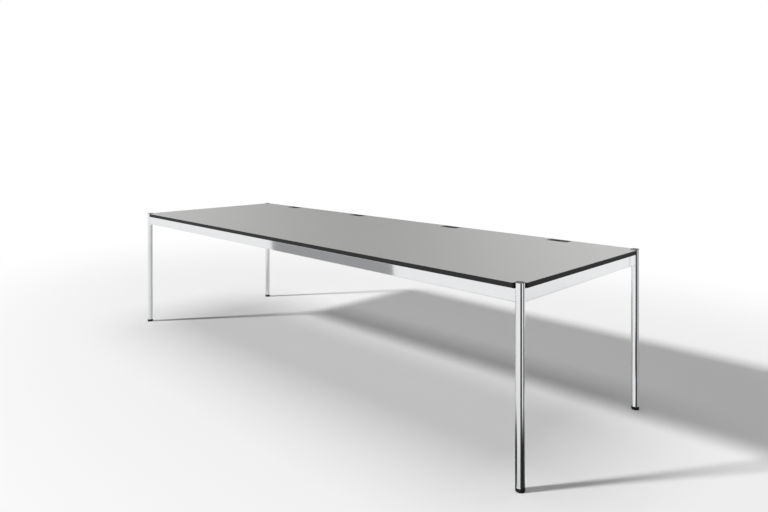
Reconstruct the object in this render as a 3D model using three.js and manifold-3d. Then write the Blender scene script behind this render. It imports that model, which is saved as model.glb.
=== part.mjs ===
import * as THREE from 'three';
import { mergeVertices } from 'three/addons/utils/BufferGeometryUtils.js';
import Module from 'manifold-3d';

// Conference table: a laminated board with a black edge on a frame of steel tube,
// round tube legs standing in notches at the board's corners, screw-adjustable feet,
// and four cable outlets with hinged lids along the rear edge.
// Millimetres, +Z up. The origin is on the floor under the middle of the board.
// X runs along the long side, the rear edge with the outlets is at +Y.

// Whole table
const TABLE_LENGTH = 3000;
const TABLE_WIDTH = 1000;
const TABLE_HEIGHT = 740;

// Clearances between pieces
const GLUE_LINE = 0.05;
const SEAT_GAP = 0.1;
const FIT_GAP = 0.3;

// Board, from the top down, and the band round its edge
const LAMINATE_T = 1;
const CORE_T = 17;
const BACKING_T = 1;
const EDGE_T = 2;
const LEG_NOTCH_CLEARANCE = 1.5;
const CORNER_FILLET = 6;

// Legs and the caps in their upper ends
const LEG_DIAMETER = 35;
const LEG_WALL = 2;
const LEG_PROUD = 2;
const CAP_FLANGE_T = 1;
const CAP_CHAMFER = 0.4;
const CAP_PLUG_LENGTH = 10;
const CAP_WALL = 2.5;

// Frame of rectangular tube under the board
const RAIL_HEIGHT = 50;
const RAIL_WIDTH = 20;
const RAIL_WALL = 2;
const RAIL_RADIUS = 2.5;
const CROSS_RAIL_NAMES = ['left', 'middle', 'right'];

// Corner brackets, bent from plate
const BRACKET_T = 4;
const BRACKET_HEIGHT = 44;
const BRACKET_REACH = 70;
const BRACKET_WING = 36;
const TAB_WIDTH = 50;
const TAB_DEPTH = 28;
const TAB_HOLE_DIAMETER = 5.5;
const TAB_HOLE_SPACING = 30;

// Leg bolts and the threaded inserts in the leg walls
const BOLT_DIAMETER = 8;
const BOLT_HOLE_CLEARANCE = 0.5;
const BOLT_PASSAGE_CLEARANCE = 1;
const BOLT_HEAD_DIAMETER = 13;
const BOLT_HEAD_HEIGHT = 8;
const BOLT_SOCKET_FLATS = 6;
const BOLT_SOCKET_DEPTH = 4;
const WASHER_DIAMETER = 17;
const WASHER_T = 1.6;
const INSERT_WALL = 1.7;
const INSERT_COLLAR = 1.5;
const INSERT_COLLAR_T = 2.5;
const INSERT_LENGTH = 7.5;

// Levelling feet
const PAD_HEIGHT = 12;
const PAD_CHAMFER = 1.5;
const PAD_FLOOR_T = 3;
const PAD_LIFT = 0.5;
const PLUG_FLANGE_T = 2;
const PLUG_LENGTH = 30;
const STEM_DIAMETER = 10;
const STEM_CHAMFER = 1;
const STEM_COLLAR = 3;
const STEM_COLLAR_T = 2.7;
const STEM_OVERRUN = 3.5;

// Cable outlets in the rear edge
const OUTLET_FROM_END = 400;
const OUTLET_SPACING = 700;
const OUTLET_WIDTH = 110;
const OUTLET_DEPTH = 62;
const OUTLET_CORNER_RADIUS = 4;
const OUTLET_WALL = 3;
const SKIRT_DROP = 10;
const LEDGE_WIDTH = 3;
const LEDGE_LENGTH = 32;
const LID_T = 3;
const LID_GAP = 0.5;
const LID_EDGE_SETBACK = 0.5;
const CABLE_GAP_WIDTH = 30;
const CABLE_GAP_DEPTH = 26;
const CABLE_GAP_RADIUS = 8;
const HINGE_PIN_DIAMETER = 3;
const HINGE_PIN_CLEARANCE = 0.25;
const BARREL_WALL = 1.75;
const BARREL_CLEARANCE = 1;

// Facets of round forms
const TUBE_SEGMENTS = 24;
const SMALL_SEGMENTS = 12;
const ARC_SEGMENTS = 3;

// Levels and places that follow from the sizes above
const BOARD_T = LAMINATE_T + CORE_T + BACKING_T;
const BOARD_UNDERSIDE = TABLE_HEIGHT - BOARD_T;
const RAIL_TOP = BOARD_UNDERSIDE - SEAT_GAP;
const RAIL_MIDDLE = RAIL_TOP - RAIL_HEIGHT / 2;
const LEG_RADIUS = LEG_DIAMETER / 2;
const LEG_BORE = LEG_RADIUS - LEG_WALL;
const LEG_X = TABLE_LENGTH / 2 - LEG_RADIUS;
const LEG_Y = TABLE_WIDTH / 2 - LEG_RADIUS;
const LEG_TOP = TABLE_HEIGHT + LEG_PROUD;
const PLUG_BOTTOM = PAD_HEIGHT + PAD_LIFT;
const LEG_BOTTOM = PLUG_BOTTOM + PLUG_FLANGE_T + SEAT_GAP;
const NOTCH_RADIUS = LEG_RADIUS + LEG_NOTCH_CLEARANCE;
const WING_FACE = RAIL_WIDTH / 2 + FIT_GAP;
const WEB_DISTANCE = (BRACKET_REACH + WING_FACE) / Math.SQRT2;
const WEB_OUTER = WEB_DISTANCE + BRACKET_T;
const INSERT_BORE = BOLT_DIAMETER / 2 + FIT_GAP;
const INSERT_RADIUS = INSERT_BORE + INSERT_WALL;
const INSERT_OUTER = Math.sqrt(LEG_RADIUS ** 2 - INSERT_RADIUS ** 2);
const INSERT_INNER = INSERT_OUTER - INSERT_LENGTH;
const STEM_RADIUS = STEM_DIAMETER / 2;
const OUTLET_OUTER_X = TABLE_LENGTH / 2 - OUTLET_FROM_END;
const OUTLET_INNER_X = OUTLET_OUTER_X - OUTLET_SPACING;
const OUTLET_CENTRES = [-OUTLET_OUTER_X, -OUTLET_INNER_X, OUTLET_INNER_X, OUTLET_OUTER_X];
const BARREL_RADIUS = HINGE_PIN_DIAMETER / 2 + HINGE_PIN_CLEARANCE + BARREL_WALL;
const HINGE_Y = -(LID_EDGE_SETBACK + BARREL_RADIUS);
const HINGE_Z = TABLE_HEIGHT - BARREL_RADIUS;

// Finishes
const FINISH = {
  laminate: { color: 0xaaaaa9, roughness: 0.55, metalness: 0 },
  backing: { color: 0x4a4a4b, roughness: 0.6, metalness: 0 },
  core: { color: 0xb08d62, roughness: 0.85, metalness: 0 },
  edge: { color: 0x2a2a2b, roughness: 0.45, metalness: 0 },
  chrome: { color: 0xe6e6e8, roughness: 0.08, metalness: 1 },
  steel: { color: 0xa8abae, roughness: 0.4, metalness: 1 },
  cap: { color: 0x4a4a4b, roughness: 0.5, metalness: 0 },
  plastic: { color: 0x1b1b1c, roughness: 0.5, metalness: 0 },
};

const table = new THREE.Group();
const wasm = await Module();
wasm.setup();

// Adds one piece to a group as a named mesh with its own material
function addPiece(group, name, geometry, finish) {
  const mesh = new THREE.Mesh(geometry, new THREE.MeshStandardMaterial(FINISH[finish]));
  mesh.name = name;
  group.add(mesh);
  return mesh;
}

// Joining and cutting of closed geometries
function toSolid(geometry) {
  const bare = geometry.clone();
  bare.deleteAttribute('normal');
  bare.deleteAttribute('uv');
  const merged = mergeVertices(bare);
  return new wasm.Manifold(new wasm.Mesh({
    numProp: 3,
    vertProperties: merged.attributes.position.array,
    triVerts: Uint32Array.from(merged.index.array),
  }));
}

function toGeometry(solid) {
  const { vertProperties, triVerts } = solid.getMesh();
  const geometry = new THREE.BufferGeometry();
  geometry.setAttribute('position', new THREE.BufferAttribute(vertProperties, 3));
  geometry.setIndex(new THREE.BufferAttribute(triVerts, 1));
  return geometry;
}

function joined(...geometries) {
  return toGeometry(geometries.map(toSolid).reduce((whole, piece) => whole.add(piece)));
}

function cutBy(geometry, ...tools) {
  return toGeometry(tools.map(toSolid).reduce((rest, tool) => rest.subtract(tool), toSolid(geometry)));
}

// Basic closed forms, placed by their limits
function block(x0, x1, y0, y1, z0, z1) {
  const box = new THREE.BoxGeometry(x1 - x0, y1 - y0, z1 - z0);
  return box.translate((x0 + x1) / 2, (y0 + y1) / 2, (z0 + z1) / 2);
}

function prism(points, z0, z1) {
  const shape = new THREE.Shape(points);
  const body = new THREE.ExtrudeGeometry(shape, { depth: z1 - z0, bevelEnabled: false });
  return body.translate(0, 0, z0);
}

// Turned about Z from a profile of [radius, height] points
function turned(profile, segments) {
  const points = profile.map(([radius, height]) => new THREE.Vector2(radius, height));
  return new THREE.LatheGeometry(points, segments).rotateX(Math.PI / 2);
}

function disc(radius, z0, z1, segments) {
  return turned([[0, z0], [radius, z0], [radius, z1], [0, z1]], segments);
}

function ring(inner, outer, z0, z1, segments) {
  return turned([[inner, z0], [outer, z0], [outer, z1], [inner, z1], [inner, z0]], segments);
}

// Lays a form made along Z so that it points from the leg to the inside of the table
function alongDiagonal(geometry) {
  return geometry.rotateX(-Math.PI / 2).rotateZ(-Math.PI / 4);
}

function arc(cx, cy, radius, fromDegrees, toDegrees) {
  const points = [];
  for (let i = 0; i <= ARC_SEGMENTS; i += 1) {
    const angle = THREE.MathUtils.degToRad(fromDegrees + (toDegrees - fromDegrees) * i / ARC_SEGMENTS);
    points.push(new THREE.Vector2(cx + radius * Math.cos(angle), cy + radius * Math.sin(angle)));
  }
  return points;
}

// One side of the board's outline, from the middle of one leg notch to the middle of the next.
// x runs along the side, y inwards from the edge, and the path lies inset from the outer edge.
function sidePath(legReach, inset, outlets, endGap) {
  const notch = NOTCH_RADIUS + inset;
  const notchMiddle = 45 - THREE.MathUtils.radToDeg(endGap / notch);
  const fillet = CORNER_FILLET - inset;
  const filletX = NOTCH_RADIUS + CORNER_FILLET - legReach;
  const half = OUTLET_WIDTH / 2;
  const round = OUTLET_CORNER_RADIUS;
  const path = [
    ...arc(-legReach, LEG_RADIUS, notch, notchMiddle, 0),
    ...arc(filletX, CORNER_FILLET, fillet, 180, 270),
  ];
  for (const centre of outlets) {
    path.push(new THREE.Vector2(centre - half - inset, inset));
    path.push(...arc(centre - half + round, OUTLET_DEPTH - round, round + inset, 180, 90));
    path.push(...arc(centre + half - round, OUTLET_DEPTH - round, round + inset, 90, 0));
    path.push(new THREE.Vector2(centre + half + inset, inset));
  }
  path.push(
    ...arc(-filletX, CORNER_FILLET, fillet, 270, 360),
    ...arc(legReach, LEG_RADIUS, notch, 180, 180 - notchMiddle),
  );
  return path;
}

// The four sides in turn. The rear side is seen from behind, but its outlets are symmetrical.
const SIDES = [
  { name: 'front', turn: 0, legReach: LEG_X, edge: TABLE_WIDTH / 2, outlets: [] },
  { name: 'right', turn: 1, legReach: LEG_Y, edge: TABLE_LENGTH / 2, outlets: [] },
  { name: 'rear', turn: 2, legReach: LEG_X, edge: TABLE_WIDTH / 2, outlets: OUTLET_CENTRES },
  { name: 'left', turn: 3, legReach: LEG_Y, edge: TABLE_LENGTH / 2, outlets: [] },
];

function boardOutline(inset) {
  const centre = new THREE.Vector2();
  return SIDES.flatMap(({ turn, legReach, edge, outlets }) => sidePath(legReach, inset, outlets, 0)
    .slice(1)
    .map((point) => point.setY(point.y - edge).rotateAround(centre, turn * Math.PI / 2)));
}

// Board: core, laminates and edge bands
function addBoard() {
  const outline = boardOutline(EDGE_T + GLUE_LINE);
  const laminateBottom = TABLE_HEIGHT - LAMINATE_T;
  const backingTop = BOARD_UNDERSIDE + BACKING_T;
  addPiece(table, 'top_laminate', prism(outline, laminateBottom, TABLE_HEIGHT), 'laminate');
  addPiece(table, 'top_core', prism(outline, backingTop + GLUE_LINE, laminateBottom - GLUE_LINE), 'core');
  addPiece(table, 'backing_laminate', prism(outline, BOARD_UNDERSIDE, backingTop), 'backing');
  for (const { name, turn, legReach, edge, outlets } of SIDES) {
    const outer = sidePath(legReach, 0, outlets, GLUE_LINE);
    const inner = sidePath(legReach, EDGE_T, outlets, GLUE_LINE);
    const band = prism([...outer, ...inner.reverse()], BOARD_UNDERSIDE, TABLE_HEIGHT);
    const mesh = addPiece(table, `edge_band_${name}`, band.translate(0, -edge, 0), 'edge');
    mesh.rotation.z = turn * Math.PI / 2;
  }
}

// Rectangular tube along X, centred, with its top at RAIL_TOP
function roundedRectangle(width, height, radius) {
  const x = width / 2 - radius;
  const y = height / 2 - radius;
  return [
    ...arc(x, y, radius, 0, 90),
    ...arc(-x, y, radius, 90, 180),
    ...arc(-x, -y, radius, 180, 270),
    ...arc(x, -y, radius, 270, 360),
  ];
}

function railTube(length) {
  const section = new THREE.Shape(roundedRectangle(RAIL_HEIGHT, RAIL_WIDTH, RAIL_RADIUS));
  const hollowHeight = RAIL_HEIGHT - 2 * RAIL_WALL;
  const hollowWidth = RAIL_WIDTH - 2 * RAIL_WALL;
  section.holes.push(new THREE.Path(roundedRectangle(hollowHeight, hollowWidth, RAIL_RADIUS / 2)));
  const tube = new THREE.ExtrudeGeometry(section, { depth: length, bevelEnabled: false });
  return tube.translate(0, 0, -length / 2).rotateY(Math.PI / 2).translate(0, 0, RAIL_MIDDLE);
}

// A rail between two legs: its ends are coped to the leg tubes and notched for the leg bolts.
// The inside of the table is at +Y.
function legRail(legReach) {
  const passage = BOLT_DIAMETER / 2 + BOLT_PASSAGE_CLEARANCE;
  const rail = railTube(2 * legReach);
  const tools = [-1, 1].flatMap((end) => {
    const cope = disc(LEG_RADIUS + FIT_GAP, 0, TABLE_HEIGHT, TUBE_SEGMENTS);
    const bolt = alongDiagonal(disc(passage, 0, WEB_DISTANCE, SMALL_SEGMENTS));
    bolt.rotateZ(end > 0 ? Math.PI / 2 : 0).translate(0, 0, RAIL_MIDDLE);
    return [cope, bolt].map((tool) => tool.translate(end * legReach, 0, 0));
  });
  return cutBy(rail, ...tools);
}

function addFrame() {
  for (const { name, turn, legReach, edge } of SIDES) {
    const rail = legRail(legReach).translate(0, LEG_RADIUS - edge, 0);
    addPiece(table, `rail_${name}`, rail, 'chrome').rotation.z = turn * Math.PI / 2;
  }
  const span = 2 * (LEG_Y - RAIL_WIDTH / 2 - FIT_GAP);
  const pitch = TABLE_LENGTH / (CROSS_RAIL_NAMES.length + 1);
  CROSS_RAIL_NAMES.forEach((name, i) => {
    const rail = addPiece(table, `cross_rail_${name}`, railTube(span), 'chrome');
    rail.position.x = (i + 1) * pitch - TABLE_LENGTH / 2;
    rail.rotation.z = Math.PI / 2;
  });
}

// Corner pieces, made with the leg's axis at the origin and the inside of the table at +X +Y
function cornerBracket() {
  const wing = BRACKET_REACH + BRACKET_WING;
  const back = WING_FACE + BRACKET_T;
  const bend = BRACKET_REACH + (Math.SQRT2 - 1) * BRACKET_T;
  const plan = [
    [wing, WING_FACE], [wing, back], [bend, back], [back, bend],
    [back, wing], [WING_FACE, wing], [WING_FACE, BRACKET_REACH], [BRACKET_REACH, WING_FACE],
  ].map(([x, y]) => new THREE.Vector2(x, y));
  const top = RAIL_TOP;
  const plate = prism(plan, top - BRACKET_HEIGHT, top);
  const tabEnd = WEB_OUTER + TAB_DEPTH;
  const webMiddle = WEB_DISTANCE + BRACKET_T / 2;
  const tab = block(webMiddle, tabEnd, -TAB_WIDTH / 2, TAB_WIDTH / 2, top - BRACKET_T, top);
  const holes = [-1, 1].map((side) => {
    const hole = disc(TAB_HOLE_DIAMETER / 2, top - 2 * BRACKET_T, top + BRACKET_T, SMALL_SEGMENTS);
    return hole.translate(WEB_OUTER + TAB_DEPTH / 2, side * TAB_HOLE_SPACING / 2, 0).rotateZ(Math.PI / 4);
  });
  const boltHole = disc(BOLT_DIAMETER / 2 + BOLT_HOLE_CLEARANCE, WEB_DISTANCE / 2, tabEnd, SMALL_SEGMENTS);
  const drilling = alongDiagonal(boltHole).translate(0, 0, RAIL_MIDDLE);
  return cutBy(joined(plate, tab.rotateZ(Math.PI / 4)), drilling, ...holes);
}

function legTube() {
  const tube = ring(LEG_BORE, LEG_RADIUS, LEG_BOTTOM, LEG_TOP, TUBE_SEGMENTS);
  const hole = alongDiagonal(disc(INSERT_RADIUS + FIT_GAP, LEG_BORE / 2, LEG_DIAMETER, SMALL_SEGMENTS));
  return cutBy(tube, hole.translate(0, 0, RAIL_MIDDLE));
}

function legCap() {
  const plug = LEG_BORE - FIT_GAP;
  const flangeBottom = LEG_TOP + SEAT_GAP;
  const flangeTop = flangeBottom + CAP_FLANGE_T;
  const plugBottom = LEG_TOP - CAP_PLUG_LENGTH;
  return turned([
    [0, LEG_TOP - CAP_FLANGE_T],
    [plug - CAP_WALL, LEG_TOP - CAP_FLANGE_T],
    [plug - CAP_WALL, plugBottom],
    [plug, plugBottom],
    [plug, flangeBottom],
    [LEG_RADIUS, flangeBottom],
    [LEG_RADIUS, flangeTop - CAP_CHAMFER],
    [LEG_RADIUS - CAP_CHAMFER, flangeTop],
    [0, flangeTop],
  ], TUBE_SEGMENTS);
}

function legBolt() {
  const seat = WEB_OUTER + FIT_GAP;
  const headBase = seat + WASHER_T;
  const headEnd = headBase + BOLT_HEAD_HEIGHT;
  const body = turned([
    [0, INSERT_INNER],
    [BOLT_DIAMETER / 2, INSERT_INNER],
    [BOLT_DIAMETER / 2, seat],
    [WASHER_DIAMETER / 2, seat],
    [WASHER_DIAMETER / 2, headBase],
    [BOLT_HEAD_DIAMETER / 2, headBase],
    [BOLT_HEAD_DIAMETER / 2, headEnd],
    [0, headEnd],
  ], SMALL_SEGMENTS);
  const socketRadius = BOLT_SOCKET_FLATS / Math.sqrt(3);
  const socket = disc(socketRadius, headEnd - BOLT_SOCKET_DEPTH, headEnd + BOLT_SOCKET_DEPTH, 6);
  return alongDiagonal(cutBy(body, socket)).translate(0, 0, RAIL_MIDDLE);
}

function legInsert() {
  const collarEnd = INSERT_INNER + INSERT_COLLAR_T;
  const body = turned([
    [INSERT_BORE, INSERT_INNER],
    [INSERT_RADIUS + INSERT_COLLAR, INSERT_INNER],
    [INSERT_RADIUS + INSERT_COLLAR, collarEnd],
    [INSERT_RADIUS, collarEnd],
    [INSERT_RADIUS, INSERT_OUTER],
    [INSERT_BORE, INSERT_OUTER],
    [INSERT_BORE, INSERT_INNER],
  ], SMALL_SEGMENTS);
  return alongDiagonal(body).translate(0, 0, RAIL_MIDDLE);
}

function footInsert() {
  const flangeTop = PLUG_BOTTOM + PLUG_FLANGE_T;
  return turned([
    [STEM_RADIUS + FIT_GAP, PLUG_BOTTOM],
    [LEG_RADIUS, PLUG_BOTTOM],
    [LEG_RADIUS, flangeTop],
    [LEG_BORE - FIT_GAP, flangeTop],
    [LEG_BORE - FIT_GAP, flangeTop + PLUG_LENGTH],
    [STEM_RADIUS + FIT_GAP, flangeTop + PLUG_LENGTH],
    [STEM_RADIUS + FIT_GAP, PLUG_BOTTOM],
  ], TUBE_SEGMENTS);
}

// The collar at the stem's lower end is held under the lip of the pad and turns there
function footStem() {
  const collarBottom = PAD_FLOOR_T + FIT_GAP;
  const collarTop = collarBottom + STEM_COLLAR_T;
  const stemTop = PLUG_BOTTOM + PLUG_FLANGE_T + PLUG_LENGTH + STEM_OVERRUN;
  return turned([
    [0, collarBottom],
    [STEM_RADIUS + STEM_COLLAR, collarBottom],
    [STEM_RADIUS + STEM_COLLAR, collarTop],
    [STEM_RADIUS, collarTop],
    [STEM_RADIUS, stemTop - STEM_CHAMFER],
    [STEM_RADIUS - STEM_CHAMFER, stemTop],
    [0, stemTop],
  ], SMALL_SEGMENTS);
}

function footPad() {
  const pocketTop = PAD_FLOOR_T + STEM_COLLAR_T + 2 * FIT_GAP;
  const pocketRadius = STEM_RADIUS + STEM_COLLAR + FIT_GAP;
  return turned([
    [0, 0],
    [LEG_RADIUS - PAD_CHAMFER, 0],
    [LEG_RADIUS, PAD_CHAMFER],
    [LEG_RADIUS, PAD_HEIGHT],
    [STEM_RADIUS + FIT_GAP, PAD_HEIGHT],
    [STEM_RADIUS + FIT_GAP, pocketTop],
    [pocketRadius, pocketTop],
    [pocketRadius, PAD_FLOOR_T],
    [0, PAD_FLOOR_T],
  ], TUBE_SEGMENTS);
}

function addCorners() {
  const corners = [
    { name: 'front_left', x: -LEG_X, y: -LEG_Y, turn: 0 },
    { name: 'front_right', x: LEG_X, y: -LEG_Y, turn: 1 },
    { name: 'rear_right', x: LEG_X, y: LEG_Y, turn: 2 },
    { name: 'rear_left', x: -LEG_X, y: LEG_Y, turn: 3 },
  ];
  for (const { name, x, y, turn } of corners) {
    const corner = new THREE.Group();
    corner.position.set(x, y, 0);
    corner.rotation.z = turn * Math.PI / 2;
    table.add(corner);
    addPiece(corner, `corner_bracket_${name}`, cornerBracket(), 'steel');
    addPiece(corner, `leg_${name}`, legTube(), 'chrome');
    addPiece(corner, `leg_cap_${name}`, legCap(), 'cap');
    addPiece(corner, `leg_bolt_${name}`, legBolt(), 'steel');
    addPiece(corner, `leg_insert_${name}`, legInsert(), 'steel');
    addPiece(corner, `foot_insert_${name}`, footInsert(), 'plastic');
    addPiece(corner, `foot_stem_${name}`, footStem(), 'steel');
    addPiece(corner, `foot_pad_${name}`, footPad(), 'plastic');
  }
}

// Outlet pieces, made with the middle of the outlet's mouth in the rear edge at the origin
function outletFrame() {
  const outerX = OUTLET_WIDTH / 2 - FIT_GAP;
  const outerFront = FIT_GAP - OUTLET_DEPTH;
  const corner = OUTLET_CORNER_RADIUS - FIT_GAP;
  const innerX = outerX - OUTLET_WALL;
  const innerFront = outerFront + OUTLET_WALL;
  const bottom = RAIL_TOP + SEAT_GAP;
  const skirtBack = RAIL_WIDTH / 2 + FIT_GAP + LEG_RADIUS;
  const throatBack = skirtBack + OUTLET_WALL;
  const rearWallTop = HINGE_Z - BARREL_RADIUS - BARREL_CLEARANCE;
  const plan = (back) => [
    ...arc(-outerX + corner, outerFront + corner, corner, 180, 270),
    ...arc(outerX - corner, outerFront + corner, corner, 270, 360),
    new THREE.Vector2(outerX, -back),
    new THREE.Vector2(-outerX, -back),
  ];
  const body = joined(prism(plan(0), bottom, TABLE_HEIGHT), prism(plan(skirtBack), bottom - SKIRT_DROP, bottom));
  const above = TABLE_HEIGHT + OUTLET_WALL;
  const well = block(-innerX, innerX, innerFront, -OUTLET_WALL, bottom + OUTLET_WALL, above);
  const mouth = block(-innerX, innerX, HINGE_Y, OUTLET_WALL, rearWallTop, above);
  const throat = block(-innerX, innerX, innerFront, -throatBack, bottom - 2 * SKIRT_DROP, above);
  const pinHole = disc(HINGE_PIN_DIAMETER / 2 + FIT_GAP, -OUTLET_WIDTH, OUTLET_WIDTH, SMALL_SEGMENTS);
  pinHole.rotateY(Math.PI / 2).translate(0, HINGE_Y, HINGE_Z);
  const ledgeTop = TABLE_HEIGHT - LID_T - SEAT_GAP;
  const ledges = [-1, 1].map((side) => {
    const ledge = block(-LEDGE_WIDTH, OUTLET_WALL / 2, 0, LEDGE_LENGTH, ledgeTop - LEDGE_WIDTH, ledgeTop);
    return ledge.rotateZ(side > 0 ? 0 : Math.PI)
      .translate(side * innerX, side > 0 ? innerFront : innerFront + LEDGE_LENGTH, 0);
  });
  return joined(cutBy(body, well, mouth, throat, pinHole), ...ledges);
}

function outletLid() {
  const halfWidth = OUTLET_WIDTH / 2 - FIT_GAP - OUTLET_WALL - LID_GAP;
  const front = FIT_GAP + OUTLET_WALL + LID_GAP - OUTLET_DEPTH;
  const gapX = CABLE_GAP_WIDTH / 2 - CABLE_GAP_RADIUS;
  const gapY = front + CABLE_GAP_DEPTH - CABLE_GAP_RADIUS;
  const plan = [
    new THREE.Vector2(-halfWidth, HINGE_Y),
    new THREE.Vector2(-halfWidth, front),
    new THREE.Vector2(-CABLE_GAP_WIDTH / 2, front),
    ...arc(-gapX, gapY, CABLE_GAP_RADIUS, 180, 90),
    ...arc(gapX, gapY, CABLE_GAP_RADIUS, 90, 0),
    new THREE.Vector2(CABLE_GAP_WIDTH / 2, front),
    new THREE.Vector2(halfWidth, front),
    new THREE.Vector2(halfWidth, HINGE_Y),
  ];
  const plate = prism(plan, TABLE_HEIGHT - LID_T, TABLE_HEIGHT);
  const alongHinge = (cylinder) => cylinder.rotateY(Math.PI / 2).translate(0, HINGE_Y, HINGE_Z);
  const barrel = alongHinge(disc(BARREL_RADIUS, -halfWidth, halfWidth, TUBE_SEGMENTS));
  const boreRadius = HINGE_PIN_DIAMETER / 2 + HINGE_PIN_CLEARANCE;
  const bore = alongHinge(disc(boreRadius, -OUTLET_WIDTH, OUTLET_WIDTH, SMALL_SEGMENTS));
  return cutBy(joined(plate, barrel), bore);
}

function outletPin() {
  const half = OUTLET_WIDTH / 2 - FIT_GAP;
  const pin = disc(HINGE_PIN_DIAMETER / 2, -half, half, SMALL_SEGMENTS);
  return pin.rotateY(Math.PI / 2).translate(0, HINGE_Y, HINGE_Z);
}

function addOutlets() {
  OUTLET_CENTRES.forEach((centre, i) => {
    const outlet = new THREE.Group();
    outlet.position.set(centre, TABLE_WIDTH / 2, 0);
    table.add(outlet);
    addPiece(outlet, `outlet_frame_${i + 1}`, outletFrame(), 'plastic');
    addPiece(outlet, `outlet_lid_${i + 1}`, outletLid(), 'plastic');
    addPiece(outlet, `outlet_pin_${i + 1}`, outletPin(), 'steel');
  });
}

addBoard();
addFrame();
addCorners();
addOutlets();

export default table;
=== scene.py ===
import math

import bmesh
import bpy
from mathutils import Matrix, Vector


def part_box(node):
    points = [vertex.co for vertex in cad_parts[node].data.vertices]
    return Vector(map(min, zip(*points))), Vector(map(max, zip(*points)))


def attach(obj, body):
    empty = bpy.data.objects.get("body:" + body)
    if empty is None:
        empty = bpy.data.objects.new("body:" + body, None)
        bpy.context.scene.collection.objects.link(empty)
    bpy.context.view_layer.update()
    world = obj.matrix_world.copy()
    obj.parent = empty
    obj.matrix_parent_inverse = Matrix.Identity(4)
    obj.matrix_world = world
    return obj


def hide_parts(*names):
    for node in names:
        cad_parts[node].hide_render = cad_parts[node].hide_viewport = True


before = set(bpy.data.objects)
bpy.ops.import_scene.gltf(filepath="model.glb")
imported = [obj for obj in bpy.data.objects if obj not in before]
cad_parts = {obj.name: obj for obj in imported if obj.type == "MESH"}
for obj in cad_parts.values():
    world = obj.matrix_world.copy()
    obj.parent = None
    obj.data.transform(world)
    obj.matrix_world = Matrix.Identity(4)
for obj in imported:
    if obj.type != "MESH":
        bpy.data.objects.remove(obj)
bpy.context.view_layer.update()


# Rails under the board's edges: steel tube of 50 x 20 mm with a 2 mm wall, polished and
# chromed. Their ends are coped to the round legs and nicked for the leg bolts. The three
# cross rails are the same tube, cut square, welded between the long rails and drilled.
WELD = 1e-6  # points that are closer than this are one point
RAIL_WALL = 0.002
RAIL_CORNER = 0.0025
RAIL_COPE_GAP = 0.0003
BOLT_PASSAGE_RADIUS = 0.005
BOLT_PASSAGE_REACH = 0.045
SCREW_HOLE_RADIUS = 0.00275
CROSS_RAIL_SCREWS = (-0.35, 0, 0.35)
CORNER_TURNS = {"front_left": 0, "front_right": 1, "rear_right": 2, "rear_left": 3}
LEG_AXES = {corner: sum(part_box(f"leg_{corner}"), Vector()) / 2 for corner in CORNER_TURNS}
LEG_LOW, LEG_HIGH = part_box("leg_front_right")
LEG_RADIUS = (LEG_HIGH.x - LEG_LOW.x) / 2
RAIL_LOW, RAIL_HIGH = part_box("rail_front")
RAIL_MIDDLE = (RAIL_LOW.z + RAIL_HIGH.z) / 2


def linear(colour):
    """An sRGB hex colour as linear RGBA."""
    channels = [int(colour[i:i + 2], 16) / 255 for i in (0, 2, 4)]
    return [c / 12.92 if c <= 0.04045 else ((c + 0.055) / 1.055) ** 2.4 for c in channels] + [1]


def new_material(name):
    """An empty material and its node tree."""
    material = bpy.data.materials.new(name)
    material.use_nodes = True
    material.node_tree.nodes.clear()
    return material, material.node_tree


def add_node(tree, kind, settings, links):
    """One node, with its settings by name and its links as {socket: (node, output)}."""
    node = tree.nodes.new(kind)
    for name, value in settings.items():
        if name == "ramp":
            for stop, colour in zip(node.color_ramp.elements, value):
                stop.color = linear(colour)
        elif isinstance(name, int) or name in node.inputs:
            node.inputs[name].default_value = value
        else:
            setattr(node, name, value)
    for name, (source, output) in links.items():
        tree.links.new(source.outputs[output], node.inputs[name])
    return node


# Bright chromium plate on polished steel: a mirror slightly darker than what it shows. The
# belt and the bath leave faint clouds in the gloss and a waviness that is hardly visible.
CHROME_CLOUD_MM = 70
CHROME_WAVE_MM = 12
chrome_plate, tree = new_material("bright_chrome_plate")
coords = add_node(tree, "ShaderNodeTexCoord", {}, {})
clouds = add_node(tree, "ShaderNodeTexNoise", {"Scale": 1000 / CHROME_CLOUD_MM, "Detail": 4},
                  {"Vector": (coords, "Object")})
tint = add_node(tree, "ShaderNodeValToRGB", {"ramp": ("e2e3e4", "eaebec")},
                {"Fac": (clouds, "Fac")})
gloss = add_node(tree, "ShaderNodeMapRange", {"To Min": 0.03, "To Max": 0.08},
                 {"Value": (clouds, "Fac")})
waves = add_node(tree, "ShaderNodeTexNoise", {"Scale": 1000 / CHROME_WAVE_MM, "Detail": 1},
                 {"Vector": (coords, "Object")})
bump = add_node(tree, "ShaderNodeBump", {"Strength": 0.05, "Distance": 0.0002},
                {"Height": (waves, "Fac")})
shader = add_node(tree, "ShaderNodeBsdfPrincipled", {"Metallic": 1},
                  {"Base Color": (tint, "Color"), "Roughness": (gloss, "Result"),
                   "Normal": (bump, "Normal")})
add_node(tree, "ShaderNodeOutputMaterial", {}, {"Surface": (shader, "BSDF")})


def to_object(name, bm):
    """The finished mesh as an object of its own, with its faces turned outwards."""
    bmesh.ops.recalc_face_normals(bm, faces=bm.faces)
    mesh = bpy.data.meshes.new(name)
    bm.to_mesh(mesh)
    bm.free()
    obj = bpy.data.objects.new(name, mesh)
    bpy.context.scene.collection.objects.link(obj)
    return obj


def apply_modifiers(obj):
    """Turns the modified form into the object's own mesh."""
    evaluated = obj.evaluated_get(bpy.context.evaluated_depsgraph_get())
    obj.data = bpy.data.meshes.new_from_object(evaluated)
    obj.modifiers.clear()


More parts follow.
